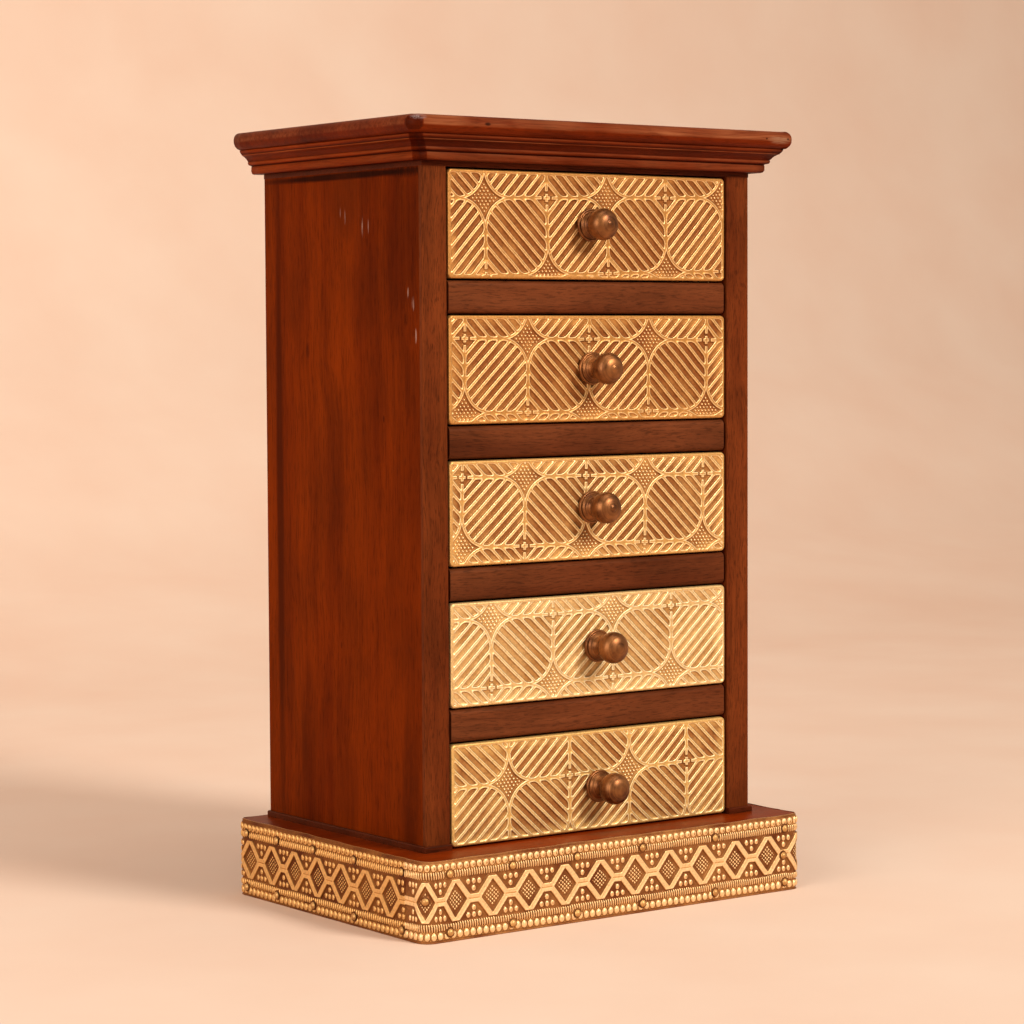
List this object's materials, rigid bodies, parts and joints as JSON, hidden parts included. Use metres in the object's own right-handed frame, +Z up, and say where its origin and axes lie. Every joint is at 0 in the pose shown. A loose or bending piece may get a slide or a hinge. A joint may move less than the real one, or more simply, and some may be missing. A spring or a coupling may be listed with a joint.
{
  "type": "desktop drawer chest",
  "caption": "Tall desktop chest of drawers in dark wood, with a stepped crown, drawer fronts and plinth clad in embossed brass, and turned brass knobs.",
  "frame": {"origin": "centre of the plinth's footprint on the table", "axes": "+X to the right as the chest is seen from the front, -Y out of the drawer fronts, +Z up"},
  "size_m": [0.2352, 0.1682, 0.38],
  "materials": {
    "carcass_wood": "dark red-brown stain under satin lacquer",
    "frame_wood": "red-brown stain under satin lacquer",
    "crown_wood": "red-brown stain, worn to tan along the edges",
    "inner_wood": "plain softwood, unpolished",
    "embossed_brass": "embossed sheet, golden on the ribs and brown in the hollows",
    "pin_brass": "polished domes",
    "knob_brass": "turned, antique bronze colour",
    "screw_steel": "zinc plated"
  },
  "bodies": {
    "cabinet": {"plinth_front": "inner_wood", "plinth_back": "inner_wood", "plinth_ends": "inner_wood", "plinth_top": "carcass_wood", "carcass_floor": "carcass_wood", "side_panel_left": "carcass_wood", "side_panel_right": "carcass_wood", "stiles": "frame_wood", "back_panel": "carcass_wood", "rail_1": "frame_wood", "rail_2": "frame_wood", "rail_3": "frame_wood", "rail_4": "frame_wood", "dust_board_1": "inner_wood", "dust_board_2": "inner_wood", "dust_board_3": "inner_wood", "dust_board_4": "inner_wood", "carcass_cap": "carcass_wood", "crown_front": "crown_wood", "crown_returns": "crown_wood", "top_board": "crown_wood", "brass_band_front": "embossed_brass", "brass_band_left": "embossed_brass", "brass_band_right": "embossed_brass", "band_pins": "pin_brass"},
    "drawer_1": {"drawer_1_front": "inner_wood", "drawer_1_brass_face": "embossed_brass", "drawer_1_sides": "inner_wood", "drawer_1_back": "inner_wood", "drawer_1_base": "inner_wood", "drawer_1_knob": "knob_brass", "drawer_1_knob_screw": "screw_steel"},
    "drawer_2": {"drawer_2_front": "inner_wood", "drawer_2_brass_face": "embossed_brass", "drawer_2_sides": "inner_wood", "drawer_2_back": "inner_wood", "drawer_2_base": "inner_wood", "drawer_2_knob": "knob_brass", "drawer_2_knob_screw": "screw_steel"},
    "drawer_3": {"drawer_3_front": "inner_wood", "drawer_3_brass_face": "embossed_brass", "drawer_3_sides": "inner_wood", "drawer_3_back": "inner_wood", "drawer_3_base": "inner_wood", "drawer_3_knob": "knob_brass", "drawer_3_knob_screw": "screw_steel"},
    "drawer_4": {"drawer_4_front": "inner_wood", "drawer_4_brass_face": "embossed_brass", "drawer_4_sides": "inner_wood", "drawer_4_back": "inner_wood", "drawer_4_base": "inner_wood", "drawer_4_knob": "knob_brass", "drawer_4_knob_screw": "screw_steel"},
    "drawer_5": {"drawer_5_front": "inner_wood", "drawer_5_brass_face": "embossed_brass", "drawer_5_sides": "inner_wood", "drawer_5_back": "inner_wood", "drawer_5_base": "inner_wood", "drawer_5_knob": "knob_brass", "drawer_5_knob_screw": "screw_steel"}
  },
  "joints": [
    {"name": "drawer_1_slide", "type": "slide", "parent": "cabinet", "child": "drawer_1", "axis": [0, -1, 0], "range_m": [0, 0.1]},
    {"name": "drawer_2_slide", "type": "slide", "parent": "cabinet", "child": "drawer_2", "axis": [0, -1, 0], "range_m": [0, 0.1]},
    {"name": "drawer_3_slide", "type": "slide", "parent": "cabinet", "child": "drawer_3", "axis": [0, -1, 0], "range_m": [0, 0.1]},
    {"name": "drawer_4_slide", "type": "slide", "parent": "cabinet", "child": "drawer_4", "axis": [0, -1, 0], "range_m": [0, 0.1]},
    {"name": "drawer_5_slide", "type": "slide", "parent": "cabinet", "child": "drawer_5", "axis": [0, -1, 0], "range_m": [0, 0.1]}
  ]
}
